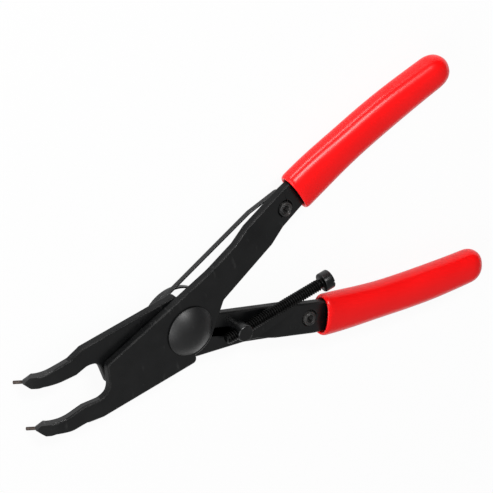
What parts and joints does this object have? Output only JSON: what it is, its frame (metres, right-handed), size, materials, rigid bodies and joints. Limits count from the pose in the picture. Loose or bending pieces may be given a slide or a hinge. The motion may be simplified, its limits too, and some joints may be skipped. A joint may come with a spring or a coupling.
{
  "type": "circlip pliers",
  "caption": "Internal circlip pliers: crossed plate levers on a domed rivet, bent pin tips, coiled strip return spring, stop screw and red sleeve grips.",
  "frame": {"origin": "centre of the rivet's flat rear face, which lies on the bench", "axes": "+X from the pivot towards the handles along the tool's middle line, +Y towards the upper handle, +Z towards the rivet's dome"},
  "size_m": [0.2148, 0.1113, 0.0187],
  "materials": {
    "black_steel": "black oxide, satin",
    "red_vinyl": "glossy dipped vinyl",
    "tip_steel": "bare ground steel"
  },
  "bodies": {
    "back_body": {"back_lever": "black_steel", "pivot_rivet": "black_steel", "rear_washer": "black_steel", "return_spring": "black_steel", "lower_grip": "red_vinyl", "lower_spring_pin": "black_steel", "stop_stud": "black_steel", "back_tip": "tip_steel"},
    "front_body": {"front_lever": "black_steel", "upper_grip": "red_vinyl", "upper_spring_pin": "black_steel", "front_tip": "tip_steel"},
    "screw_body": {"stop_screw": "black_steel"}
  },
  "joints": [
    {"name": "squeeze", "type": "hinge", "parent": "back_body", "child": "front_body", "pos_m": [0, 0, 0.00945], "axis": [0, 0, -1], "range_deg": [0, 14.5], "stiffness_Nm_per_rad": 1.5, "deforming": ["return_spring"]},
    {"name": "stop_screw_travel", "type": "slide", "parent": "back_body", "child": "screw_body", "axis": [1, 0, 0], "range_m": [-0.008, 0.003]}
  ]
}
